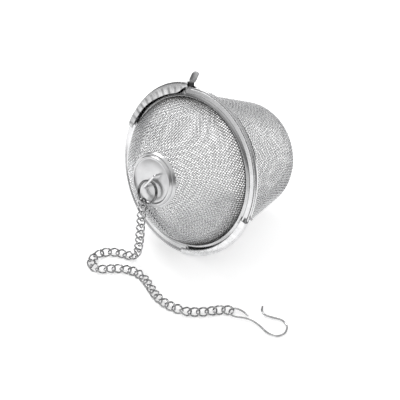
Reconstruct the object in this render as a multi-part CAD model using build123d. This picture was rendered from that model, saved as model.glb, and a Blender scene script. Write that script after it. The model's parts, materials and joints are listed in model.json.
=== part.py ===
from build123d import *

import os
from math import acos, atan2, cos, degrees, radians, sin, tan

# A tea infuser of woven stainless mesh, lying on its side: a deep basket, a domed lid that
# turns to lock under two folded flaps, a pressed cap with a staple and a double ring, and a
# link chain that ends in a cup hook.  Sizes in mm.
#
# Bench frame: +Z up, z = 0 the surface it lies on, the lid towards -Y, and the origin under
# the middle of the infuser without its chain and hook.
# Infuser's own frame, in which its pieces are drawn: +Z out through the middle of the lid,
# +Y the top of the rim as it lies, z = 0 the front of the basket's collar.

# Driving sizes
RIM_RADIUS = 45.0            # outside of the collar's rolled bead
BEAD = 1.0                   # radius of that bead
BEAD_HEIGHT = -0.4           # middle of the bead, a little behind the collar's front
COLLAR_DEPTH = 7.0           # upright skirt of the collar, outside the mesh
MOUTH_RADIUS = 40.2          # outside of the basket's mesh at its mouth
MOUTH_DEPTH = 6.0            # upright part of the mesh behind the collar
BASE_RADIUS = 28.3           # where the sloping wall would meet the flat bottom
BASE_CORNER = 10.0           # rounding between wall and bottom
BASKET_DEPTH = 60.0
MESH = 0.6                   # two crossing wires thick
SHEET = 0.6                  # pressed steel of collar, lid ring and cap
BAND = 0.5                   # thickness of the two clamping bands
DOME_RADIUS = 38.1           # outside of the lid's mesh where it enters the lid ring
DOME_HEIGHT = 25.2           # flattened top of the lid's mesh
DOME_TOP = 14.0              # radius of that top
DOME_BULGE = 2.6             # how far the cone bulges out of a straight line
SPIGOT = 4.0                 # how far the lid ring enters the basket
RING_BACK = 0.15             # gap between the lid ring and the collar it turns on
RING_EDGE = 40.8             # outside of the lid ring between its lugs
CAP_RADIUS = 14.2
CAP_FACE = 26.6              # height of the cap's flat face
STAPLE_WIRE = 1.1
STAPLE_REACH = 5.2           # half the distance between its legs
STAPLE_RISE = 3.4            # middle of its bar above the cap's face
STAPLE_FOOT = 3.6            # length of each leg turned in behind the backing plate
LEG_ROOM = 0.1               # play of a leg in its hole
BACKING_RADIUS = 9.5
BACKING = 0.8                # thickness of the backing plate
RING_WIRE = 0.9
RING_RADIUS = 5.7            # middle of the ring's wire
RING_HEIGHT = 29.3           # the ring's middle, in front of the cap's rolled edge
RING_TURNS_APART = 0.86      # its two turns of wire press into each other a little
RING_LEAN = 10.0             # its foot stands out from the cap, with room for a link behind
LINK_WIRE = 0.9
LINK_LENGTH = 6.2
LINK_WIDTH = 4.6
LINK_PITCH = 4.2             # 0.2 less than a link's inside length, so each hangs loosely
LINKS_TO_LEAN = 9            # links over which the chain's twist settles on the bench
HOOK_WIRE = 1.0
HOOK_REACH = 28.8            # from its eye to the middle of its bend
EYE_CATCH = 0.4              # how far the eye reaches back into the last link

# Angles round the rim read as on a clock face seen from the lid: 0 at the top, clockwise.
FLAP_START = -77.0           # where the upper flap begins; the lower one is opposite
FLAP_SPAN = 66.0
FLAP_LIP = 41.2              # how far in the flaps reach over the lid ring
FLAP_FRONT = 2.2             # height of their front
LUG_SPAN = 58.0
LUG_RADIUS = 42.7
STAPLE_TURN = 32.0           # the staple's bar leans this far from upright
STAPLE_MIDDLE = (1.4, 0.8)
RING_MIDDLE = (0.9, -5.2)
PULL_TURN = 195.0            # where on the ring the chain hangs

# The chain's route from the ring to the hook, in the bench frame
ROUTE = [
    (-1.4, -47.7, 33.0), (-2.3, -48.0, 24.0), (-3.2, -48.3, 15.5), (-4.3, -48.6, 8.6),
    (-6.7, -48.9, 3.6), (-10.8, -49.3, 1.9), (-16.0, -51.0, 1.8), (-21.2, -54.5, 1.8),
    (-23.8, -60.3, 1.8), (-21.6, -66.5, 1.8), (-15.4, -67.9, 1.8), (-10.0, -62.7, 1.8),
    (-3.6, -57.7, 1.8), (3.8, -56.1, 1.8), (11.0, -57.7, 1.8), (18.6, -60.9, 1.8),
    (26.0, -63.0, 1.8), (33.0, -62.8, 1.8), (38.4, -61.4, 1.8), (43.0, -59.1, 1.8),
    (46.8, -55.5, 1.8), (50.2, -51.5, 1.8), (53.2, -47.5, 1.8), (57.6, -44.9, 1.8),
]
LINKS = 38

# The hook's wire in its own plane, from the tail of its eye to its tip
HOOK = [
    (8.4, 3.0), (4.6, 3.7), (0.8, 3.0), (-1.1, 0.3), (0.7, -2.5), (4.2, -2.0), (7.8, 0.8),
    (12.2, 2.0), (17.4, 1.7), (22.2, 0.5), (26.9, 1.6), (28.8, 5.9), (27.0, 10.6),
    (22.4, 12.6), (18.0, 10.6), (14.0, 9.0), (10.9, 10.3), (9.3, 13.0),
]


# --- Ways of making a piece ---------------------------------------------------------------

def at_clock(angle, radius, height=0.0):
    return Vector(radius * sin(radians(angle)), radius * cos(radians(angle)), height)


def turned(points, start=0.0, span=360.0):
    """A solid made by turning a closed (radius, height) outline round the infuser's axis,
    clockwise from a clock angle through a span."""
    outline = make_face(Plane.XZ * Polyline(*points, close=True))
    return Rot(0, 0, 90 - start - span) * revolve(outline, Axis.Z, span)


def round_wire(path, diameter):
    """Round wire swept along a path of straight runs and tangent arcs."""
    section = Plane(path @ 0, z_dir=path % 0) * Circle(diameter / 2)
    return sweep(section, path)


def rounded(points):
    """A path through points whose corners are as large as their two runs allow."""
    points = [Vector(*point) for point in points]
    radii = []
    for before, corner, after in zip(points, points[1:], points[2:]):
        turn = radians((corner - before).get_angle(after - corner))
        run = min((corner - before).length, (after - corner).length)
        radii.append(0.45 * run / tan(turn / 2))
    return FilletPolyline(*points, radius=radii)


# --- Basket -------------------------------------------------------------------------------

def cup(thinner, top):
    """A solid cup shape, drawn smaller all round by a thickness: upright mouth, sloping
    wall, rounded corner and flat bottom."""
    bottom = thinner - BASKET_DEPTH
    side = make_face(Plane.XZ * Polyline(
        (0, top), (MOUTH_RADIUS - thinner, top), (MOUTH_RADIUS - thinner, -MOUTH_DEPTH),
        (BASE_RADIUS - thinner, bottom), (0, bottom), close=True))
    corner = side.vertices().group_by(Axis.Z)[0].sort_by(Axis.X)[-1]
    return revolve(fillet(corner, BASE_CORNER - thinner), Axis.Z)


def basket_mesh():
    """Deep cup drawn from one disc of woven wire."""
    return cup(0, -SHEET) - cup(MESH, 1)


def basket_rim():
    """Pressed collar with a rolled bead, two flaps folded over the front that hold the lid's
    lugs down, and a thumb tongue where the upper flap ends."""
    outer = MOUTH_RADIUS + SHEET
    bead_line = RIM_RADIUS - BEAD
    rim = turned([(MOUTH_RADIUS, -COLLAR_DEPTH), (outer, -COLLAR_DEPTH), (outer, -SHEET),
                  (bead_line, -SHEET), (bead_line, 0), (outer, 0), (MOUTH_RADIUS, -SHEET)])
    rim += Pos(0, 0, BEAD_HEIGHT) * Torus(bead_line, BEAD)
    fold = RIM_RADIUS - 0.1
    back = FLAP_FRONT - SHEET
    for half in (0, 180):
        rim += turned([(fold - SHEET, BEAD_HEIGHT), (fold, BEAD_HEIGHT), (fold, FLAP_FRONT - 0.9),
                       (fold - 0.9, FLAP_FRONT), (FLAP_LIP, FLAP_FRONT), (FLAP_LIP, back),
                       (fold - 1.1, back), (fold - SHEET, back - 0.5)],
                      FLAP_START + half, FLAP_SPAN)
    return rim + thumb_tongue()


def thumb_tongue():
    """Spatula-shaped tongue where the upper flap ends: a narrow neck and a rounded blade,
    bent outwards and a little back."""
    neck, width, length, lean = 2.6, 4.2, 10.0, -38.0
    outline = Pos(0, length / 2 - 1) * Rectangle(neck, length - 2)
    outline += Pos(0, length - 3.1) * RectangleRounded(width, 6.2, 1.9)
    blade = extrude(outline, SHEET)
    turn = FLAP_START + FLAP_SPAN + 1
    root = at_clock(turn, 43.3, FLAP_FRONT - SHEET)
    return Pos(root) * Rot(0, 0, -turn) * Rot(lean, 0, 0) * blade


def basket_clamp_band():
    """Band inside the mouth that clamps the mesh's edge against the collar."""
    outside = MOUTH_RADIUS - MESH
    inside = outside - BAND
    return turned([(inside, -5.5), (outside, -5.5), (outside, -SHEET), (inside, -SHEET)])


# --- Lid ----------------------------------------------------------------------------------

def dome(thinner, foot):
    """A solid dome, drawn smaller all round by a thickness: upright foot, bulging cone and
    flattened top."""
    radius, top = DOME_RADIUS - thinner, DOME_TOP - thinner
    height = DOME_HEIGHT - thinner
    shoulder, crown = Vector(radius, 0.9), Vector(top, height - 1.2)
    across = (crown - shoulder).normalized().rotate(Axis.Z, -90)
    bulge = (shoulder + crown) / 2 + across * DOME_BULGE
    side = make_face([
        ThreePointArc(shoulder, bulge, crown),
        Polyline(crown, (top - 3, height), (0, height), (0, foot), (radius, foot), shoulder)])
    return revolve(Rot(90, 0, 0) * side, Axis.Z)


def staple_feet():
    """Places of the staple's two legs on the cap's face."""
    along = at_clock(STAPLE_TURN, STAPLE_REACH)
    middle = Vector(*STAPLE_MIDDLE)
    return [middle - along, middle + along]


def leg_holes():
    """The two holes that the staple's legs pass through, with running room."""
    hole = Cylinder(STAPLE_WIRE / 2 + LEG_ROOM, 10)
    return [Pos(foot.X, foot.Y, CAP_FACE) * hole for foot in staple_feet()]


def lid_mesh():
    """Bulging cone drawn from one disc of woven wire, its edge tucked into the lid ring."""
    return dome(0, -SPIGOT) - dome(MESH, -SPIGOT - 1) - leg_holes()


def lid_ring():
    """Flat ring with a short spigot that enters the basket, an inner bead that grips the
    mesh, and two wide lugs that turn in under the basket's flaps."""
    back = RING_BACK
    front = back + SHEET
    inside = DOME_RADIUS
    ring = turned([(inside, -SPIGOT), (inside + SHEET, -SPIGOT), (inside + SHEET, back),
                   (RING_EDGE, back), (RING_EDGE, front), (inside + 1.4, front),
                   (inside + 1.1, front + 0.95), (inside, front + 0.95)])
    root = RING_EDGE - 0.1
    for half in (0, 180):
        start = FLAP_START + half + (FLAP_SPAN - LUG_SPAN) / 2
        ring += turned([(root, back), (LUG_RADIUS, back), (LUG_RADIUS, front), (root, front)],
                       start, LUG_SPAN)
    return ring


def lid_clamp_band():
    """Band inside the lid's foot that clamps its mesh against the spigot."""
    outside = DOME_RADIUS - MESH
    inside = outside - BAND
    return turned([(inside, -SPIGOT), (outside, -SPIGOT), (outside, -0.8), (inside, -0.8)])


def lid_cap():
    """Pressed round cap: flat face, raised rolled edge and a skirt seated on the mesh."""
    back = CAP_FACE - SHEET
    edge = CAP_RADIUS - 3
    cap = turned([(0, back), (edge - 0.1, back), (edge + 0.4, back + 0.5), (edge + 1.1, back + 0.5),
                  (CAP_RADIUS - SHEET, 24.5), (CAP_RADIUS, 24.4), (edge + 1.6, CAP_FACE + 0.3),
                  (edge + 1.1, CAP_FACE + 0.6), (edge + 0.3, CAP_FACE + 0.6),
                  (edge - 0.3, CAP_FACE + 0.3), (edge - 0.7, CAP_FACE), (0, CAP_FACE)])
    return cap - leg_holes()


def cap_backing_plate():
    """Round plate inside the lid that the staple's legs are turned over on."""
    front = DOME_HEIGHT - MESH
    back = front - BACKING
    plate = turned([(0, back), (BACKING_RADIUS, back), (BACKING_RADIUS, front), (0, front)])
    return plate - leg_holes()


def cap_staple():
    """Wire staple: bar across the cap's face, two legs through it, and both ends turned
    in flat behind the backing plate."""
    low, high = staple_feet()
    bar = CAP_FACE + STAPLE_RISE
    behind = DOME_HEIGHT - MESH - BACKING - STAPLE_WIRE / 2
    inward = (high - low).normalized() * STAPLE_FOOT
    path = FilletPolyline(
        Vector(low.X, low.Y, behind) + inward, Vector(low.X, low.Y, behind),
        Vector(low.X, low.Y, bar), Vector(high.X, high.Y, bar),
        Vector(high.X, high.Y, behind), Vector(high.X, high.Y, behind) - inward, radius=0.9)
    return round_wire(path, STAPLE_WIRE)


def double_ring():
    """Two turns of wire lying on each other, which the chain hangs from."""
    turn = Torus(RING_RADIUS, RING_WIRE / 2)
    aside = RING_TURNS_APART / 2
    return Pos(0, 0, aside) * turn + Pos(0, 0, -aside) * turn


# --- Chain and hook -----------------------------------------------------------------------

def chain_link():
    """Oval link of round wire, its long way along X and flat in XY."""
    bend = (LINK_WIDTH - LINK_WIRE) / 2
    path = SlotCenterToCenter(LINK_LENGTH - LINK_WIDTH, 2 * bend).face().outer_wire()
    return round_wire(path, LINK_WIRE)


def catches(route, pitch, count):
    """Places where the links catch each other: one pitch apart along the route."""
    samples = 8000
    places = [route @ 0]
    for step in range(samples + 1):
        place = route @ (step / samples)
        if len(places) <= count and (place - places[-1]).length >= pitch:
            places.append(place)
    return places


def link_plane(start, end, number):
    """The plane of a link between two catches.  Each link stands square to the one before
    it.  Where the chain hangs the first one lies square to the ring, and on the bench both
    ways lean by 45 degrees."""
    along = (end - start).normalized()
    above = (Vector(0, 0, 1) - along * along.Z).normalized()
    aside = along.cross(above)
    settled = min(1.0, number / LINKS_TO_LEAN)
    roll = radians(90 * (number % 2 == 0) + 45 * settled)
    across = above * cos(roll) + aside * sin(roll)
    return Plane((start + end) / 2, x_dir=along, z_dir=along.cross(across))


def cup_hook():
    """Open hook bent from one wire, its tail turned back into an eye."""
    return round_wire(rounded([(x, y, 0) for x, y in HOOK]), HOOK_WIRE)


# --- Putting it together ------------------------------------------------------------------

def lying_tilt():
    """Angle by which the lid looks up when the bead and the basket's corner both touch the
    bench: reach * cos(tilt) - depth * sin(tilt) = height."""
    lean = atan2(MOUTH_RADIUS - BASE_RADIUS, BASKET_DEPTH - MOUTH_DEPTH)
    corner_line = BASE_RADIUS - BASE_CORNER * (1 - sin(lean)) / cos(lean)
    reach = RIM_RADIUS - BEAD - corner_line
    depth = BASKET_DEPTH - BASE_CORNER - 0.4
    height = BASE_CORNER - BEAD
    return acos(height / (reach ** 2 + depth ** 2) ** 0.5) - atan2(depth, reach)


ring_place = Pos(*RING_MIDDLE, RING_HEIGHT) * Rot(-RING_LEAN, 0, 0)
pieces = {
    "basket_mesh": basket_mesh(),
    "basket_rim": basket_rim(),
    "basket_clamp_band": basket_clamp_band(),
    "lid_mesh": lid_mesh(),
    "lid_ring": lid_ring(),
    "lid_clamp_band": lid_clamp_band(),
    "lid_cap": lid_cap(),
    "cap_backing_plate": cap_backing_plate(),
    "cap_staple": cap_staple(),
    "double_ring": ring_place * double_ring(),
}

tilt = lying_tilt()
turned_down = Rot(90 - degrees(tilt), 0, 0)
lying = Compound(children=[turned_down * piece for piece in pieces.values()]).bounding_box()
laid_down = Pos(0, -lying.center().Y, -lying.min.Z) * turned_down
pieces = {name: laid_down * piece for name, piece in pieces.items()}

hang_point = (laid_down * ring_place * Pos(at_clock(PULL_TURN, RING_RADIUS))).position
route = Spline(hang_point + Vector(0, 0, 0.75), *ROUTE)    # its first catch, on the ring's wire
places = catches(route, LINK_PITCH, LINKS)
link = chain_link()
for number, (start, end) in enumerate(zip(places, places[1:])):
    pieces[f"chain_link_{number + 1:02d}"] = link_plane(start, end, number) * link

# The eye stands on the last link, and the hook's bend rests on the bench
along = (places[-1] - places[-2]).normalized()
eye = places[-1] - along * EYE_CATCH
droop = atan2(eye.Z - HOOK_WIRE / 2, HOOK_REACH)
pieces["cup_hook"] = Pos(eye) * Rot(0, degrees(droop), 0) * cup_hook()

os.makedirs("parts", exist_ok=True)
for name, piece in pieces.items():
    export_step(piece, f"parts/{name}.step")
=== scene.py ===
import json
from math import cos, pi, radians, sin

import bpy
import numpy as np
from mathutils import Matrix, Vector


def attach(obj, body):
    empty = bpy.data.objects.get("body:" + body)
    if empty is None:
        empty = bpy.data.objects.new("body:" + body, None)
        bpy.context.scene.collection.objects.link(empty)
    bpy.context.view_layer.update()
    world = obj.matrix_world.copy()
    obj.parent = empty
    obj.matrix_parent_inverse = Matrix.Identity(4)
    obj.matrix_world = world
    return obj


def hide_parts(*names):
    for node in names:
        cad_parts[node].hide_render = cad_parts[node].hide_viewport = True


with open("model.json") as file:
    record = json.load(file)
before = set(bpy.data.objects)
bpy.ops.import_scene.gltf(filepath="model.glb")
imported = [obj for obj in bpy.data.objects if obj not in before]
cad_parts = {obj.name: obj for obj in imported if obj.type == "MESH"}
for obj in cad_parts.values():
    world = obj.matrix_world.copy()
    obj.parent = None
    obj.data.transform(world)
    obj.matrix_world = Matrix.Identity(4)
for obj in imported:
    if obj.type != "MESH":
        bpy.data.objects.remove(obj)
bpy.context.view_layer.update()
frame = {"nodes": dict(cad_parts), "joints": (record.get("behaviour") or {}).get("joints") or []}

# ---------------------------------------------------------------------------------------------
# Camera and bench.  A plain white bench top under soft light from the upper left, seen from
# above and a little to the right of the lid.

AIM = Vector((-0.0028, -0.0019, 0.0163))
DISTANCE = 0.5
VIEW_TURN, VIEW_HEIGHT = radians(41.957), radians(36.292)
SENSOR_WIDTH, LENS = 36, 82.58
NEAREST_SEEN, FARTHEST_SEEN = 0.01, 50
BENCH_RADIUS, BENCH_SIDES, BENCH_GLOW = 6, 96, 0.38
ROOM_GREYS = [(0.0, 0.16), (0.2, 0.12), (0.5, 0.2), (0.72, 0.8), (1.0, 1.0)]  # height, grey
CARD_SIDES = 0.7, 0.85         # cosines from the front where the card starts and is full
CARD_TOP = 0.36, 0.24          # sines of the height where the card ends and is still full
towards_camera = Vector((sin(VIEW_TURN) * cos(VIEW_HEIGHT), -cos(VIEW_TURN) * cos(VIEW_HEIGHT),
                         sin(VIEW_HEIGHT)))
camera_data = bpy.data.cameras.new("bench_camera")
camera_data.sensor_width = SENSOR_WIDTH
camera_data.lens = LENS
camera_data.clip_start = NEAREST_SEEN
camera_data.clip_end = FARTHEST_SEEN
camera = bpy.data.objects.new("bench_camera", camera_data)
camera.location = AIM + DISTANCE * towards_camera
camera.rotation_euler = towards_camera.to_track_quat("Z", "Y").to_euler()
bpy.context.scene.collection.objects.link(camera)
bpy.context.scene.camera = camera
bpy.context.scene.view_settings.view_transform = "Standard"
bpy.context.scene.cycles.denoising_prefilter = "NONE"


def bench_top():
    """A flat white disc: radius times cosine and sine of the turn, at height zero."""
    turn = np.linspace(0, 2 * pi, BENCH_SIDES, endpoint=False)
    ring = np.stack([BENCH_RADIUS * np.cos(turn), BENCH_RADIUS * np.sin(turn), 0 * turn], axis=1)
    data = bpy.data.meshes.new("bench_top")
    data.from_pydata(ring.tolist(), [], [list(range(BENCH_SIDES))])
    bench = bpy.data.objects.new("bench_top", data)
    bpy.context.scene.collection.objects.link(bench)
    material = bpy.data.materials.new("white_bench")
    material.use_nodes = True
    shader = material.node_tree.nodes["Principled BSDF"]
    shader.inputs["Base Color"].default_value = (0.9, 0.9, 0.9, 1)
    shader.inputs["Roughness"].default_value = 0.75
    shader.inputs["Emission Color"].default_value = (1, 1, 1, 1)
    shader.inputs["Emission Strength"].default_value = BENCH_GLOW
    data.materials.append(material)


def feed(tree, node, inputs):
    """Give a shader node's inputs, by name or number, their values, or link outputs to
    them."""
    for key, value in inputs.items():
        if isinstance(value, bpy.types.NodeSocket):
            tree.links.new(value, node.inputs[key])
        else:
            node.inputs[key].default_value = value


def add(tree, kind, inputs, **settings):
    """Add a shader node with its settings and inputs, and give its outputs."""
    node = tree.nodes.new("ShaderNode" + kind)
    for setting, value in settings.items():
        setattr(node, setting, value)
    feed(tree, node, inputs)
    return node.outputs


def on_numbers(tree, operation, *given):
    """The result of an operation on one or two numbers."""
    return add(tree, "Math", dict(enumerate(given)), operation=operation)["Value"]


def on_vectors(tree, operation, result, *given):
    """The result, a "Vector" or a "Value", of an operation on one or two vectors."""
    return add(tree, "VectorMath", dict(enumerate(given)), operation=operation)[result]


def ramp(tree, value, start, end, low=0.0, high=1.0):
    """Straight ramp: low where the value is at start, high at end, and held past both."""
    return add(tree, "MapRange", {"Value": value, "From Min": start, "From Max": end,
                                  "To Min": low, "To Max": high})["Result"]


def mixed(tree, share, first, second, kind="RGBA"):
    """Two colours, or two numbers, mixed: the first at share 0, the second at share 1."""
    return add(tree, "Mix", {"Factor": share, "A": first, "B": second}, data_type=kind)["Result"]


def soft_light(name, place, size, power):
    """A square soft box that faces the point the camera aims at."""
    data = bpy.data.lights.new(name, "AREA")
    data.energy = power
    data.size = size
    light = bpy.data.objects.new(name, data)
    light.location = place
    light.rotation_euler = (Vector(place) - AIM).to_track_quat("Z", "Y").to_euler()
    bpy.context.scene.collection.objects.link(light)


def studio():
    """White room for the eye and for dull surfaces.  Polished ones also see that the room is
    dark low down and bright overhead, and a white card that stands low in front.  The card is
    the product of two ramps of the direction: how much it faces the front and how low it is."""
    world = bpy.data.worlds.new("studio")
    world.use_nodes = True
    tree = world.node_tree
    direction = add(tree, "TexCoord", {})["Generated"]
    height = add(tree, "SeparateXYZ", {0: direction})["Z"]
    greys = tree.nodes.new("ShaderNodeValToRGB")
    while len(greys.color_ramp.elements) < len(ROOM_GREYS):
        greys.color_ramp.elements.new(0.5)
    for element, (position, grey) in zip(greys.color_ramp.elements, ROOM_GREYS):
        element.position = position
        element.color = (grey, grey, grey, 1)
    feed(tree, greys, {"Fac": height})
    facing = on_vectors(tree, "DOT_PRODUCT", "Value", direction, (0.0, -1.0, 0.0))
    card = on_numbers(tree, "MULTIPLY", ramp(tree, facing, *CARD_SIDES),
                      ramp(tree, height, *CARD_TOP))
    seen_by_polish = mixed(tree, card, greys.outputs["Color"], (0.9, 0.9, 0.9, 1))
    polished = add(tree, "LightPath", {})["Is Glossy Ray"]
    room = mixed(tree, polished, (0.96, 0.96, 0.96, 1), seen_by_polish)
    feed(tree, tree.nodes["Background"], {"Color": room, "Strength": 0.85})
    bpy.context.scene.world = world


bench_top()
soft_light("upper_left_light", (-0.7, 0.2, 0.9), 0.5, 5)
studio()

# ---------------------------------------------------------------------------------------------
# Basket mesh.  One disc of plain-woven stainless wire, drawn into a deep cup.  Drawing keeps
# the disc's area, so towards the mouth its wires close up round the cup and part along it.

WIRE = 0.00034                 # diameter of the woven wire
WEAVE_PITCH = 0.00127          # from wire to wire in the flat disc
WEAVE_HEIGHT = 0.00016         # how far a wire rises and falls as it crosses its neighbours
WEAVE_SWAY = 0.0004            # how far a wire strays sideways
HELD_EDGE = 0.2                # share of the disc's reach over which sway and crease fade out
SWAY_WAVES = 190, 130, 170, 150               # radians of its waves for each metre
SWAY_STARTS = 1.3, 0.4, 2.0
WALL = 0.0006                  # two crossing wires, pressed together
# Painted shade: the mesh wire is painted dark just in front of the collar, where it meets the lid
# ring.
PAINTED_SHADE_STARTS = -0.0005, 0.0003  # heights, out of the rim's middle, where the painted shade starts
PAINTED_SHADE_ENDS = 0.0075, 0.0035     # heights where the painted shade has gone and where it is still full
DULL_WIRE, CLEAN_WIRE = (0.5, 0.505, 0.515, 1), (0.84, 0.84, 0.845, 1)
# Colour of the painted shade on the wire by the lid ring.
PAINTED_SHADE_WIRE = (0.17, 0.168, 0.165, 1)

lid_turn = next(joint for joint in frame["joints"] if joint["name"] == "lid_turn")
rim_middle = np.array(lid_turn["pos_m"])
out_of_lid = np.array(lid_turn["axis"])
to_right = np.array([1.0, 0.0, 0.0])
to_top = np.cross(out_of_lid, to_right)


def lay_down(points):
    """Points of the infuser's own frame, x to the right, y to the top of its rim and z out of
    its lid, turned and moved to where it lies: middle + x right + y top + z out."""
    x, y, z = np.moveaxis(np.asarray(points), -1, 0)
    return rim_middle + x[..., None] * to_right + y[..., None] * to_top + z[..., None] * out_of_lid


def make_piece(name, points, faces, material, body, replaced=(), crease=None):
    """A piece from an array of points and faces, smooth but for creases sharper than an
    angle, its faces turned outwards: the sum of area times middle dot normal over them is
    positive, with the middles measured from the points' mean."""
    data = bpy.data.meshes.new(name)
    faces = faces if isinstance(faces, list) else faces.tolist()
    data.from_pydata(points.tolist(), [], faces)
    middles = np.empty(3 * len(data.polygons))
    normals = np.empty(3 * len(data.polygons))
    areas = np.empty(len(data.polygons))
    data.polygons.foreach_get("center", middles)
    data.polygons.foreach_get("normal", normals)
    data.polygons.foreach_get("area", areas)
    out = ((middles.reshape(-1, 3) - points.mean(axis=0)) * normals.reshape(-1, 3)).sum(axis=1)
    if (out * areas).sum() < 0:
        data.flip_normals()
    data.polygons.foreach_set("use_smooth", np.ones(len(data.polygons), bool))
    if crease:
        data.set_sharp_from_angle(angle=radians(crease))
    data.materials.append(material)
    data.update()
    piece = bpy.data.objects.new(name, data)
    bpy.context.scene.collection.objects.link(piece)
    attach(piece, body)
    if replaced:
        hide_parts(*replaced)
    return piece


def skin(rings, whole):
    """Quads between closed rings of points, an array (rings, points, 3).  Whole, the last
    ring joins the first; if not, both end rings are closed with a face."""
    count, around = rings.shape[:2]
    index = np.arange(count * around).reshape(count, around)
    onward = np.roll(index, -1, axis=0)
    quads = np.stack([index, onward, np.roll(onward, -1, axis=1), np.roll(index, -1, axis=1)], -1)
    if whole:
        return rings.reshape(-1, 3), quads.reshape(-1, 4).tolist()
    ends = [index[0].tolist(), index[-1][::-1].tolist()]
    return rings.reshape(-1, 3), quads[:-1].reshape(-1, 4).tolist() + ends


def round_the_axis(outlines, clock):
    """Rings for outlines given in millimetres as (radius, height), one for all or one for
    each clock angle in degrees: radius sine, radius cosine, height."""
    clock = np.radians(np.asarray(clock, float))
    outlines = np.broadcast_to(outlines, (len(clock),) + np.shape(outlines)[-2:]) / 1000
    radius, height = outlines[..., 0], outlines[..., 1]
    return np.stack([radius * np.sin(clock)[:, None], radius * np.cos(clock)[:, None], height],
                    axis=-1)


def ease(x):
    """Smooth step: 3 x squared minus 2 x cubed, with x held between 0 and 1."""
    x = np.clip(x, 0, 1)
    return x * x * (3 - 2 * x)


def arc(middle, radius, start, end, count):
    """Points of an arc in the (radius, height) plane: middle + radius (cos, sin) of an angle
    that runs evenly from start to end, in degrees."""
    angle = np.radians(np.linspace(start, end, count))
    return np.array(middle) + radius * np.stack([np.cos(angle), np.sin(angle)], axis=1)


def even(outline, step):
    """The same outline with points evenly apart: both coordinates interpolated over its
    running length."""
    outline = np.asarray(outline, float)
    run = np.r_[0, np.cumsum(np.linalg.norm(np.diff(outline, axis=0), axis=1))]
    new = np.linspace(0, run[-1], int(run[-1] / step) + 2)
    return np.stack([np.interp(new, run, outline[:, k]) for k in (0, 1)], axis=1)


def drawn_weave(outline, turn, depth_of_crease, crossways):
    """One set of wires of a woven disc drawn onto the surface that the outline makes round
    the axis, as (wires, steps, 3) middle points, their outward normals, and the share of the
    wire's radius at each step, which is zero at a wire's end and less past it.

    A wire is the line x = number times pitch, y = step in the flat disc, moved sideways by a
    slow sway.  The point at (x, y) keeps its direction from the middle, and its distance d
    goes to where the drawn surface inside it has the disc's area: d squared = twice the sum
    of radius times length.  From there it moves along the normal by the height of the weave
    times a cosine, and by the depth of the crease."""
    length = np.r_[0, np.cumsum(np.linalg.norm(np.diff(outline, axis=0), axis=1))]
    middles = (outline[1:, 0] + outline[:-1, 0]) / 2
    disc = np.sqrt(2 * np.r_[0, np.cumsum(middles * np.diff(length))])
    along = np.gradient(outline, length, axis=0)
    reach = disc[-1]
    count = int(reach / WEAVE_PITCH)
    number = np.arange(-count, count + 1)[:, None]
    half = 2 * (count + 1)
    step = np.arange(-half, half + 1)[None, :] * WEAVE_PITCH / 2
    x = number * WEAVE_PITCH + 0 * step
    end = np.sqrt(reach ** 2 - x ** 2)
    y = np.clip(step, -end, end)
    share = (np.abs(step) < end).astype(float)
    share[np.abs(step) >= end + WEAVE_PITCH / 2] = -1
    rise = WEAVE_HEIGHT * np.cos(pi * (y / WEAVE_PITCH + number)) * (1 - 2 * crossways)
    if crossways:
        x, y = y, x
    inner = np.clip(1 - np.hypot(x, y) / reach, 0, HELD_EDGE) / HELD_EDGE
    sway = WEAVE_SWAY * inner
    waves, starts = SWAY_WAVES, SWAY_STARTS
    x = x + sway * np.sin(y * waves[0] + starts[0]) * np.cos(x * waves[1])
    y = y + sway * np.sin(x * waves[2] + starts[1]) * np.cos(y * waves[3] + starts[2])
    far = np.hypot(x, y)
    angle = np.arctan2(x, y) + turn
    radius = np.interp(far, disc, outline[:, 0])
    height = np.interp(far, disc, outline[:, 1])
    lean_out = np.interp(far, disc, along[:, 1])
    lean_up = -np.interp(far, disc, along[:, 0])
    flip = np.sign(np.interp(reach * 0.5, disc, along[:, 1]))
    lean_out, lean_up = -lean_out * flip, -lean_up * flip
    normal = np.stack([lean_out * np.sin(angle), lean_out * np.cos(angle), lean_up], axis=-1)
    middle = np.stack([radius * np.sin(angle), radius * np.cos(angle), height], axis=-1)
    middle = middle + (rise + depth_of_crease(middle) * inner)[..., None] * normal
    return middle, normal, share


def wire_tubes(middle, normal, share, sides):
    """Round wires: at each step a ring, middle + wire radius (cos a times normal + sin a
    times side), where side is square to the wire and to the normal.  A wire's last ring is a
    fiftieth as wide.  Gives points and faces, with the wires kept apart and nothing past
    their ends."""
    onward = np.gradient(middle, axis=1)
    side = np.cross(onward, normal)
    side /= np.maximum(np.linalg.norm(side, axis=-1, keepdims=True), 1e-12)
    up = np.cross(side, onward)
    up /= np.maximum(np.linalg.norm(up, axis=-1, keepdims=True), 1e-12)
    a = np.linspace(0, 2 * pi, sides, endpoint=False)
    ring = np.cos(a)[:, None] * up[:, :, None, :] + np.sin(a)[:, None] * side[:, :, None, :]
    wire_radius = WIRE / 2 * np.clip(share, 0.02, 1)
    points = middle[:, :, None, :] + wire_radius[:, :, None, None] * ring
    real = share >= 0
    wires, steps = real.shape
    index = np.arange(wires * steps * sides).reshape(wires, steps, sides)
    beside = np.roll(index, -1, axis=2)
    quads = np.stack([index[:, :-1], beside[:, :-1], beside[:, 1:], index[:, 1:]], axis=-1)
    quads = quads[real[:, :-1] & real[:, 1:]].reshape(-1, 4)
    used, faces = np.unique(quads, return_inverse=True)
    return points.reshape(-1, 3)[used], faces.reshape(-1, 4)


def from_rim(tree, place):
    """A place as it is seen from the middle of the rim."""
    return on_vectors(tree, "SUBTRACT", "Vector", place, tuple(rim_middle))


def part_along(tree, arm, direction):
    """How far an arm reaches along a direction: their dot product."""
    return on_vectors(tree, "DOT_PRODUCT", "Value", arm, tuple(direction))


def new_metal(name):
    """A plain metal: its material, node tree and shader, and each point's place in it."""
    material = bpy.data.materials.new(name)
    material.use_nodes = True
    tree = material.node_tree
    shader = tree.nodes["Principled BSDF"]
    shader.inputs["Metallic"].default_value = 1.0
    return material, tree, shader, add(tree, "TexCoord", {})["Object"]


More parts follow.
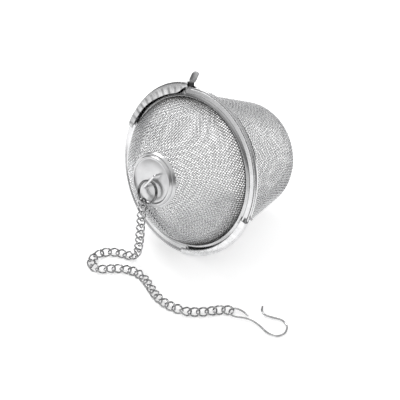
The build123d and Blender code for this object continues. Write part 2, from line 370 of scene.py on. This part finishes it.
def woven_wire_steel():
    """Bright drawn stainless wire: clean metal, duller and greyer in patches, and painted much
    darker, as painted shade, in the first millimetres in front of the collar, where it meets the
    lid ring."""
    material, tree, shader, place = new_metal("woven_wire_steel")
    patches = add(tree, "TexNoise", {"Vector": place, "Scale": 90, "Detail": 4})["Fac"]
    clean = mixed(tree, patches, DULL_WIRE, CLEAN_WIRE)
    height = part_along(tree, from_rim(tree, place), out_of_lid)
    # Painted shade: a band of darker wire just in front of the collar.
    dark = on_numbers(tree, "MULTIPLY", ramp(tree, height, *PAINTED_SHADE_STARTS),
                      ramp(tree, height, *PAINTED_SHADE_ENDS))
    feed(tree, shader, {"Base Color": mixed(tree, dark, clean, PAINTED_SHADE_WIRE),
                        "Roughness": ramp(tree, patches, 0, 1, 0.26, 0.12)})
    return material


def no_crease(points):
    """A surface with no crease: zero everywhere."""
    return np.zeros(points.shape[:-1])


def weave_pieces(lid_or_basket, outline, turn, depth_of_crease, sides):
    """The two pieces of a woven mesh: its warp, then its weft, which crosses it."""
    for crossways, name in enumerate(["warp", "weft"]):
        middle, normal, share = drawn_weave(outline, turn, depth_of_crease, crossways)
        points, faces = wire_tubes(middle, normal, share, sides)
        make_piece(lid_or_basket + "_" + name, lay_down(points), faces, mesh_steel,
                   lid_or_basket, [lid_or_basket + "_mesh"])


BASKET_MOUTH, BASKET_FOOT, BASKET_CORNER, BASKET_BOTTOM = 0.0402, 0.0283, 0.010, -0.060
NECK_END, NECK_START = -0.0008, -0.006        # the straight part that the collar holds
BASKET_TURN = radians(25)
OUTLINE_STEP = 0.0004
mesh_steel = woven_wire_steel()
inset = WALL / 2
basket_lean = np.arctan2(BASKET_MOUTH - BASKET_FOOT, NECK_START - BASKET_BOTTOM)
corner_middle = (BASKET_FOOT - BASKET_CORNER * (1 - sin(basket_lean)) / cos(basket_lean),
                 BASKET_BOTTOM + BASKET_CORNER)
basket_outline = even(np.concatenate([
    [(0, BASKET_BOTTOM + inset)],
    arc(corner_middle, BASKET_CORNER - inset, -90, -np.degrees(basket_lean), 24),
    [(BASKET_MOUTH - inset, NECK_START), (BASKET_MOUTH - inset, NECK_END)]]), OUTLINE_STEP)
weave_pieces("basket", basket_outline, BASKET_TURN, no_crease, 5)

# ---------------------------------------------------------------------------------------------
# Lid mesh.  A second, flatter disc of the same woven wire, drawn into a bulging cone with a
# flat top under the cap.  Its foot is tucked into the lid ring.

DOME_FOOT, DOME_TOP, DOME_HEIGHT, DOME_BULGE = 0.0389, 0.014, 0.0252, 0.0019
SHOULDER_IN, SHOULDER_UP = 0.0006, 0.0032     # where the steep foot turns into the cone
FOOT_DEPTH = -0.0038
LID_TURN = radians(8)
CREASE_START, CREASE_END = np.array([-0.0049, -0.0161]), np.array([0.0056, -0.0332])
CREASE_DEPTH, CREASE_WIDTH, CREASE_FADE = 0.0013, 0.0009, 0.004


def bulging_cone():
    """Outline of the lid's mesh from the middle of its top to its foot: a flat, a short
    slope, an arc through three points and a steep foot, half a wall inside the surface."""
    shoulder = np.array([DOME_FOOT - SHOULDER_IN - inset, SHOULDER_UP])
    crown = np.array([DOME_TOP - inset, DOME_HEIGHT - 0.0012 - inset])
    chord = crown - shoulder
    length = np.linalg.norm(chord)
    outward = np.array([chord[1], -chord[0]]) / length
    radius = (length ** 2 / 4 + DOME_BULGE ** 2) / (2 * DOME_BULGE)
    centre = (shoulder + crown) / 2 + outward * (DOME_BULGE - radius)
    start, end = (np.degrees(np.arctan2(*(point - centre)[::-1])) for point in (crown, shoulder))
    return even(np.concatenate([
        [(0, DOME_HEIGHT - inset), (DOME_TOP - inset - 0.003, DOME_HEIGHT - inset)],
        arc(centre, radius, start, end, 40),
        [(DOME_FOOT - inset, 0.0006), (DOME_FOOT - inset, FOOT_DEPTH)]]), OUTLINE_STEP)


def lid_crease(points):
    """Depth of the fold that runs straight down the front of the lid: its depth times a bell,
    e to the minus square of the distance across its line over its width, and faded out along
    the line at both ends."""
    run = CREASE_END - CREASE_START
    length = np.linalg.norm(run)
    onward = run / length
    place = points[..., :2] - CREASE_START
    down = place @ onward
    across = place @ np.array([onward[1], -onward[0]])
    fade = np.clip(np.minimum(down, length - down) / CREASE_FADE + 0.5, 0, 1)
    return -CREASE_DEPTH * np.exp(-(across / CREASE_WIDTH) ** 2) * fade


weave_pieces("lid", bulging_cone(), LID_TURN, lid_crease, 6)

# ---------------------------------------------------------------------------------------------
# Pressed steel.  Collar, lid ring, flaps and cap are pressed from bright stainless sheet and
# turned against a polishing wheel, so fine lines run round them; handling leaves soft marks.

RELIEF_DEPTH = 0.0002


def new_group(name, inputs, outputs):
    """An empty node group with its named inputs, (kind, label, value), and outputs."""
    made = bpy.data.node_groups.new(name, "ShaderNodeTree")
    for kind, label, value in inputs:
        socket = made.interface.new_socket(label, in_out="INPUT", socket_type="NodeSocket" + kind)
        if value is not None:
            socket.default_value = value
    for kind, label in outputs:
        made.interface.new_socket(label, in_out="OUTPUT", socket_type="NodeSocket" + kind)
    return made, made.nodes.new("NodeGroupInput"), made.nodes.new("NodeGroupOutput")


def polishing_lines():
    """Lines round the infuser's axis: noise of the distance from the axis and of the height
    along it, so it doesn't change on the way round."""
    made, given, result = new_group(
        "polishing_lines", [("Vector", "Place", None), ("Float", "Fineness", 4000.0)],
        [("Float", "Lines")])
    arm = from_rim(made, given.outputs["Place"])
    height = part_along(made, arm, out_of_lid)
    foot = add(made, "VectorMath", {0: tuple(out_of_lid), "Scale": height}, operation="SCALE")
    spoke = on_vectors(made, "SUBTRACT", "Vector", arm, foot["Vector"])
    reach = on_vectors(made, "LENGTH", "Value", spoke)
    pair = add(made, "CombineXYZ", {"X": reach, "Y": height})["Vector"]
    noise = add(made, "TexNoise", {"Vector": pair, "Scale": given.outputs["Fineness"],
                                   "Detail": 3})
    feed(made, result, {"Lines": noise["Fac"]})
    return made


def handling_marks():
    """Marks like those of handling: broad soft patches, which are noise with its low and high
    ends cut off, and a few fine scratches, which are the peaks of a noise drawn out long."""
    made, given, result = new_group(
        "handling_marks", [("Vector", "Place", None), ("Float", "Size", 120.0)],
        [("Float", "Patches"), ("Float", "Scratches")])
    place = given.outputs["Place"]
    patches = add(made, "TexNoise", {"Vector": place, "Scale": given.outputs["Size"],
                                     "Detail": 5, "Roughness": 0.6})["Fac"]
    drawn_out = add(made, "Mapping", {"Vector": place, "Rotation": (0.5, 0.9, 0.3),
                                      "Scale": (120, 3000, 300)})["Vector"]
    streaks = add(made, "TexNoise", {"Vector": drawn_out, "Scale": 1, "Distortion": 0.6})["Fac"]
    feed(made, result, {"Patches": ramp(made, patches, 0.35, 0.65),
                        "Scratches": ramp(made, streaks, 0.62, 0.7)})
    return made


lines_group = polishing_lines()
marks_group = handling_marks()


def steel(name, bright, dark, shine, dull, lines=0.3, fineness=4000.0, size=120.0, relief=0.06):
    """Clean metal between a bright and a dark grey and between two roughnesses, mixed by the
    handling patches and, for a share, by the polishing lines.  The lines stand up and the
    scratches lie deep: the relief follows their difference."""
    material, tree, shader, place = new_metal(name)
    turned = add(tree, "Group", {"Place": place, "Fineness": fineness}, node_tree=lines_group)
    marks = add(tree, "Group", {"Place": place, "Size": size}, node_tree=marks_group)
    wear = mixed(tree, lines, marks["Patches"], turned["Lines"], "FLOAT")
    tint = mixed(tree, wear, (bright, bright, bright * 1.008, 1),
                 (dark, dark * 1.003, dark * 1.015, 1))
    depth = on_numbers(tree, "SUBTRACT", turned["Lines"], marks["Scratches"])
    bump = add(tree, "Bump", {"Strength": relief, "Distance": RELIEF_DEPTH, "Height": depth})
    feed(tree, shader, {"Base Color": tint, "Roughness": ramp(tree, wear, 0, 1, shine, dull),
                        "Normal": bump["Normal"]})
    return material


def dress(name, material):
    """Give a piece that CAD made its material."""
    node = frame["nodes"][name]
    node.data.materials.clear()
    node.data.materials.append(material)


# ---------------------------------------------------------------------------------------------
# Collar.  Pressed steel round the basket's mouth: a skirt outside the mesh, a dished flange
# that the lid ring turns on, a crisp raised crease and, outside a groove, a rolled bead.

collar_steel = steel("collar_steel", 0.8, 0.6, 0.1, 0.22, lines=0.5, fineness=2600.0)
collar_outline = [
    (40.2, -7.0), (40.8, -7.0), (40.8, -1.3), (43.2, -1.3), (43.6, -1.36), (44.0, -1.4),
    (44.4, -1.32), (44.7, -1.12), (44.9, -0.85), (45.0, -0.55), (45.0, -0.35), (44.93, -0.15),
    (44.8, -0.04), (44.7, -0.06), (44.62, -0.22), (44.55, -0.36), (44.48, -0.2), (44.4, 0.08),
    (44.28, 0.24), (44.1, 0.3), (43.9, 0.28), (43.7, 0.2), (43.5, 0.06), (43.3, -0.12),
    (43.1, -0.2), (42.8, -0.2), (42.0, -0.12), (40.9, 0.02), (40.5, 0.04), (40.2, -0.1)]
points, faces = skin(round_the_axis(collar_outline, np.arange(0, 360, 1.0)), True)
make_piece("collar", lay_down(points), faces, collar_steel, "basket",
           ["basket_rim"], crease=50)

# ---------------------------------------------------------------------------------------------
# Flaps.  Two pieces of the collar folded forward and in over the lid's lugs.  The upper one's
# lip sweeps outward at its end, to the neck of the tongue; the lower one is cut off square.

FLAP_SWEEP = 66.0              # degrees of the rim that a flap takes up
FLAP_LIP = 41.2                # radius of its lip, millimetres
SWELL, LIP_OUT, LIP_IN = 1.5, 3.6, 0.5        # how far the upper flap's side and lip stray
SWELL_RUN, LIP_OUT_RUN, LIP_IN_RUN = (8, 52), (53, 13), (20, 20)   # degrees: from, over
# Spots of painted dark reflection round the upper flap.
SPOTS_IN_A_TURN = 62.0
SPOTS_END = 0.0447, 0.0437     # radii where the spots have gone and where they are full
flap_steel = steel("flap_steel", 0.82, 0.62, 0.14, 0.28, lines=0.25, size=300.0)
# Painted shade: the upper flap's steel is painted darker than the lower flap's, for how the light
# falls on it.
shade_painted_flap_steel = steel("shade_painted_flap_steel", 0.66, 0.42, 0.2, 0.34, lines=0.2, size=300.0)


def painted_reflection_spots():
    """Dark spots at even steps round the rim, a painted dark reflection: the sine of a number
    times the clock angle, cut to its peaks, times a noise, and only inside a radius."""
    made, given, result = new_group("painted_reflection_spots", [("Vector", "Place", None)],
                                    [("Float", "Spots")])
    arm = from_rim(made, given.outputs["Place"])
    clock_angle = on_numbers(made, "ARCTAN2", part_along(made, arm, to_right),
                             part_along(made, arm, to_top))
    wave = on_numbers(made, "SINE", on_numbers(made, "MULTIPLY", clock_angle, SPOTS_IN_A_TURN))
    uneven = add(made, "TexNoise", {"Vector": given.outputs["Place"], "Scale": 420})["Fac"]
    spots = on_numbers(made, "MULTIPLY", ramp(made, wave, 0.1, 0.8), uneven)
    within = ramp(made, on_vectors(made, "LENGTH", "Value", arm), *SPOTS_END)
    feed(made, result, {"Spots": on_numbers(made, "MULTIPLY", spots, within)})
    return made


def add_spots(material):
    """Darken the base colour by the spots of painted dark reflection."""
    tree = material.node_tree
    shader = tree.nodes["Principled BSDF"]
    plain = shader.inputs["Base Color"].links[0].from_socket
    place = tree.nodes["Texture Coordinate"].outputs["Object"]
    spots = add(tree, "Group", {"Place": place}, node_tree=painted_reflection_spots())["Spots"]
    feed(tree, shader, {"Base Color": mixed(tree, spots, plain, (0.06, 0.06, 0.062, 1))})


# Painted dark reflections: dark spots on the upper flap's steel.
add_spots(shade_painted_flap_steel)


def flap_outlines(clock, lip, swell):
    """Section of a folded flap in millimetres, one for each clock angle: up outside, over a
    round edge and in to its lip, which lies at its own radius at each angle.  Its outer side,
    but for its first and last point, is moved out by the swell."""
    fold = [(44.9, -0.1), (44.9, 0.7), (44.9, 1.3)]
    fold += arc((44.1, 1.3), 0.8, 20, 90, 5).tolist()
    outlines = np.zeros((len(clock), 16, 2))
    outlines[:, :8] = fold
    outlines[:, :8, 0] += swell[:, None]
    outlines[:, 0, 0] -= swell
    inner_side = [(lip * 0.5 + (44.1 + swell) * 0.5, 2.16), (lip + 0.35, 2.1), (lip + 0.1, 2.0),
                  (lip, 1.8), (lip + 0.1, 1.55), (np.minimum(lip + 0.5, 44.0 + swell), 1.6),
                  (44.2 + swell, 1.2)]
    for place, (radius, height) in enumerate(inner_side, start=8):
        outlines[:, place, 0] = radius
        outlines[:, place, 1] = height
    outlines[:, 15] = (44.3, -0.1)
    return outlines


for name, start, sweep, steel_of_flap in [("upper_flap", -77.0, 1.0, shade_painted_flap_steel),
                                          ("lower_flap", 103.0, 0.0, flap_steel)]:
    clock = np.linspace(start, start + FLAP_SWEEP, 133)
    grown, turned_out, turned_in = (ease((clock - start - begin) / run)
                                    for begin, run in (SWELL_RUN, LIP_OUT_RUN, LIP_IN_RUN))
    swell = sweep * SWELL * grown
    lip = FLAP_LIP + sweep * (LIP_OUT * turned_out ** 1.6 - LIP_IN * turned_in)
    points, faces = skin(round_the_axis(flap_outlines(clock, lip, swell), clock), False)
    make_piece(name, lay_down(points), faces, steel_of_flap, "basket",
               ["basket_rim"], crease=40)

# At the end of the upper flap the fold stands open.  A dark block inside it stands in for the
# shade of the gap.
fold_shade_paint = steel("fold_shade_paint", 0.05, 0.03, 0.4, 0.6, lines=0.0, relief=0.0)
points, faces = skin(round_the_axis([(44.4, 0.0), (46.6, 0.1), (46.9, 0.7), (46.5, 1.2),
                                     (44.4, 1.2)], np.linspace(-12.2, -7.4, 9)), False)
make_piece("fold_shade_block", lay_down(points), faces, fold_shade_paint, "basket",
           ["basket_rim"], crease=40)

# The lower flap starts with a small curl of sheet that stands out past the bead.

CURL_CLOCK = radians(99.8)
CURL_WIDTH, CURL_INNER, CURL_OUTER = 1.6, 0.65, 1.15       # millimetres

def curl_rings():
    """Rings of a strip rolled to a hook: an arc of 230 degrees that stands square to the rim,
    CURL_WIDTH wide, between an inner and an outer radius."""
    turn = np.radians(np.linspace(-150, 80, 28))
    outward = np.array([sin(CURL_CLOCK), cos(CURL_CLOCK), 0.0])
    across = np.array([outward[1], -outward[0], 0.0])
    up = np.array([0, 0, 1.0])
    spoke = np.cos(turn)[:, None] * outward + np.sin(turn)[:, None] * up
    edge = CURL_WIDTH / 2
    section = np.array([(-edge, CURL_INNER), (edge, CURL_INNER), (edge, CURL_OUTER),
                        (-edge, CURL_OUTER)])
    return (45.5 * outward + 0.6 * up + section[None, :, :1] * across
            + section[None, :, 1:] * spoke[:, None, :]) / 1000


points, faces = skin(curl_rings(), False)
make_piece("flap_curl", lay_down(points), faces, flap_steel, "basket",
           ["basket_rim"], crease=40)

# ---------------------------------------------------------------------------------------------
# Thumb tongue.  The upper flap runs on into a narrow neck and a rounded, matt blade, bent
# outwards and a little back, which turns the basket on the lid.

TIP_START, TIP_LENGTH = 8.2, 1.92             # millimetres, like all of the tongue
HALF_NECK, HALF_BLADE = 1.15, 2.25
ROOT_RADIUS, ROOT_HEIGHT = 43.3, 1.75
TONGUE_LEAN, TONGUE_BEND = -38, 6             # degrees
tongue_steel = steel("tongue_steel", 0.5, 0.3, 0.34, 0.5, lines=0.1, size=500.0, relief=0.12)


def tongue_rings():
    """Rings round the tongue, square to its run: half a width that eases from neck to blade
    and closes as a half ellipse, and a thickness that thins at both edges.  It leans back by
    an angle that bends a little, as a sine, over its run."""
    run = np.r_[np.linspace(0, TIP_START, 30),
                TIP_START + 1.9 * np.sin(np.linspace(0.1, 1.45, 12))]
    past = np.clip(run - TIP_START, 0, None)
    half = HALF_NECK + (HALF_BLADE - HALF_NECK) * ease((run - 2.8) / 2.6)
    half = half * np.sqrt(np.clip(1 - (past / TIP_LENGTH) ** 2, 0.001, 1))
    lean = np.radians(TONGUE_LEAN + TONGUE_BEND * np.sin(run / 10 * pi))
    turn = radians(-10)
    radius = ROOT_RADIUS + np.r_[0, np.cumsum(np.cos(lean[1:]) * np.diff(run))]
    height = ROOT_HEIGHT + np.r_[0, np.cumsum(np.sin(lean[1:]) * np.diff(run))]
    outward = np.array([sin(turn), cos(turn), 0.0])
    across = np.array([cos(turn), -sin(turn), 0.0])
    up = (-np.sin(lean)[:, None] * outward + np.cos(lean)[:, None] * np.array([0, 0, 1.0]))
    middle = radius[:, None] * outward + height[:, None] * np.array([0, 0, 1.0])
    section = np.array([(-1, 0.0), (-0.94, 0.24), (0.0, 0.3), (0.94, 0.24), (1, 0.0),
                        (0.94, -0.24), (0.0, -0.24), (-0.94, -0.24)])
    return (middle[:, None, :] + half[:, None, None] * section[None, :, :1] * across
            + section[None, :, 1:] * up[:, None, :]) / 1000


points, faces = skin(tongue_rings(), False)
make_piece("tongue", lay_down(points), faces, tongue_steel, "basket",
           ["basket_rim"], crease=60)

# ---------------------------------------------------------------------------------------------
# Lid ring.  A pressed ring that grips the lid's mesh with its inner edge, turns on the collar
# and has two wide lugs that slide in under the flaps.

RING_EDGE, LUG_REACH = 40.8, 1.9              # millimetres
LUG_MIDDLES, HALF_LUG = (-44.0, 136.0), 29.5  # degrees
ring_steel = steel("lid_ring_steel", 0.72, 0.5, 0.12, 0.28, lines=0.5, fineness=2600.0)


def lid_ring_outlines(clock):
    """Section of the lid ring at each clock angle in millimetres: spigot, flat back, outer
    edge, sloping front.  Over each lug the outer edge moves out by an eased step."""
    lug = sum(ease((HALF_LUG - np.abs((clock - middle + 180) % 360 - 180)) / 1.5)
              for middle in LUG_MIDDLES)
    edge = RING_EDGE + LUG_REACH * lug
    outlines = np.zeros((len(clock), 12, 2))
    outlines[:] = [(38.9, -4.0), (39.4, -4.0), (39.4, 0.12), (40.8, 0.12), (40.8, 0.26),
                   (40.7, 0.34), (39.6, 0.86), (39.36, 0.95), (39.2, 0.93), (39.06, 0.8),
                   (38.96, 0.55), (38.9, 0.2)]
    outlines[:, 3, 0] = outlines[:, 4, 0] = edge
    outlines[:, 5, 0] = edge - 0.1
    return outlines


clock = np.arange(0, 360, 0.75)
points, faces = skin(round_the_axis(lid_ring_outlines(clock), clock), True)
make_piece("lid_ring_front", lay_down(points), faces, ring_steel, "lid",
           ["lid_ring"], crease=50)

# ---------------------------------------------------------------------------------------------
# Clamp bands.  Two plain strips of sheet rolled into hoops, inside the basket's mouth and the
# lid's foot, each holding the cut edge of the mesh against its ring.

band_steel = steel("band_steel", 0.7, 0.5, 0.2, 0.36, lines=0.3)
for name in ["basket_clamp_band", "lid_clamp_band"]:
    dress(name, band_steel)

# ---------------------------------------------------------------------------------------------
# Cap.  A pressed disc with a flat face, a raised rolled edge outside a shallow groove, and a
# skirt seated on the lid's mesh; a plain plate behind the mesh takes the staple's legs.

cap_steel = steel("cap_steel", 0.72, 0.58, 0.28, 0.4, lines=0.35, fineness=1800.0)
cap_outline = np.concatenate([
    [(0.05, 26.0), (0.05, 26.6), (6.0, 26.6), (10.6, 26.6), (10.9, 26.5), (11.1, 26.5),
     (11.35, 26.7)],
    arc((11.95, 26.72), 0.55, 150, 20, 8),
    [(12.6, 26.6), (12.75, 26.1), (12.9, 25.7)],
    arc((13.3, 25.45), 0.35, 120, 10, 5),
    [(14.05, 24.7), (14.2, 24.4), (13.7, 24.3), (13.2, 25.1), (12.3, 25.9), (11.0, 25.9)]])
points, faces = skin(round_the_axis(cap_outline, np.arange(0, 360, 3.0)), True)
make_piece("cap", lay_down(points), faces, cap_steel, "lid", ["lid_cap"], crease=55)
dress("cap_backing_plate", steel("backing_steel", 0.66, 0.5, 0.25, 0.4))

# ---------------------------------------------------------------------------------------------
# Staple and double ring.  Bright drawn wire: a staple through the cap, and a ring of two
# close turns that hangs in it and carries the chain.  The ring's wire is painted much darker than
# the staple's: a painted dark reflection.

dress("cap_staple", steel("staple_wire", 0.85, 0.6, 0.06, 0.16, lines=0.0, size=500.0))
# Painted dark reflection: the ring's wire is much darker than the staple's.
dress("double_ring", steel("ring_wire", 0.3, 0.12, 0.05, 0.15, lines=0.0, size=500.0))

# ---------------------------------------------------------------------------------------------
# Chain.  Thirty-eight oval links of drawn wire, each twisted a quarter turn from end to end
# so that the chain lies flat, and so slack that neighbours overlap.

chain_wire = steel("chain_wire", 0.66, 0.28, 0.05, 0.18, lines=0.0, size=700.0)
LINK_LENGTH, LINK_WIDTH, LINK_WIRE = 0.0067, 0.0051, 0.00096
SQUARENESS = 0.85              # under 1, an oval's sides run straighter
FACING = [0.3, -0.45, 0.84]    # a direction that every link's flat side leans towards


def link_middle(name):
    """Middle and long direction of a link made by CAD: its points' strongest principal axis,
    and half way between their extremes."""
    node = frame["nodes"][name]
    places = np.empty(3 * len(node.data.vertices))
    node.data.vertices.foreach_get("co", places)
    matrix = np.array(node.matrix_world)
    places = places.reshape(-1, 3) @ matrix[:3, :3].T + matrix[:3, 3]
    axes = np.linalg.svd(places - places.mean(axis=0), full_matrices=False)[2]
    along = (places - places.mean(axis=0)) @ axes.T
    return places.mean(axis=0) + (along.min(axis=0) + along.max(axis=0)) / 2 @ axes, axes[0]


def twisted_link(middle, long, roll):
    """Rings of a round wire bent to an oval and twisted: half length times cosine, and half
    width times sine, both raised to the squareness and with their signs kept, the second
    turned about the long axis by 45 degrees times the first.  A roll tips its wide side."""
    wide = np.cross(FACING, long)
    wide = wide / np.linalg.norm(wide) + roll * np.cross(long, wide)
    wide /= np.linalg.norm(wide)
    thin = np.cross(long, wide)
    t = np.linspace(0, 2 * pi, 36, endpoint=False)
    along = np.sign(np.cos(t)) * np.abs(np.cos(t)) ** SQUARENESS
    out = np.sign(np.sin(t)) * np.abs(np.sin(t)) ** SQUARENESS * (LINK_WIDTH - LINK_WIRE) / 2
    twist = radians(45) * along
    line = np.stack([(LINK_LENGTH - LINK_WIRE) / 2 * along, out * np.cos(twist),
                     out * np.sin(twist)], axis=1)
    onward = np.roll(line, -1, axis=0) - np.roll(line, 1, axis=0)
    onward /= np.linalg.norm(onward, axis=1, keepdims=True)
    side = np.cross(onward, [0, 0, 1.0])
    side /= np.linalg.norm(side, axis=1, keepdims=True)
    up = np.cross(side, onward)
    a = np.linspace(0, 2 * pi, 8, endpoint=False)[None, :, None]
    ring = np.cos(a) * side[:, None, :] + np.sin(a) * up[:, None, :]
    return middle + (line[:, None, :] + LINK_WIRE / 2 * ring) @ np.array([long, wide, thin])


link_names = [f"chain_link_{number:02d}" for number in range(1, 39)]
middles = [link_middle(name) for name in link_names]
for number, name in enumerate(link_names):
    middle, long = middles[number]
    towards = middles[min(number + 1, len(middles) - 1)][0] - middles[max(number - 1, 0)][0]
    roll = 0.2 * sin(number * 2.3) + 0.15 * sin(number * 0.9)
    points, faces = skin(twisted_link(middle, long * np.sign(long @ towards), roll), True)
    make_piece(name.replace("chain_", "bent_"), points, faces, chain_wire, name,
               [name])

# ---------------------------------------------------------------------------------------------
# Cup hook.  One length of drawn wire with an eye on the chain and an open hook for the cup's
# edge.

dress("cup_hook", steel("hook_wire", 0.7, 0.4, 0.06, 0.16, lines=0.0, size=300.0))
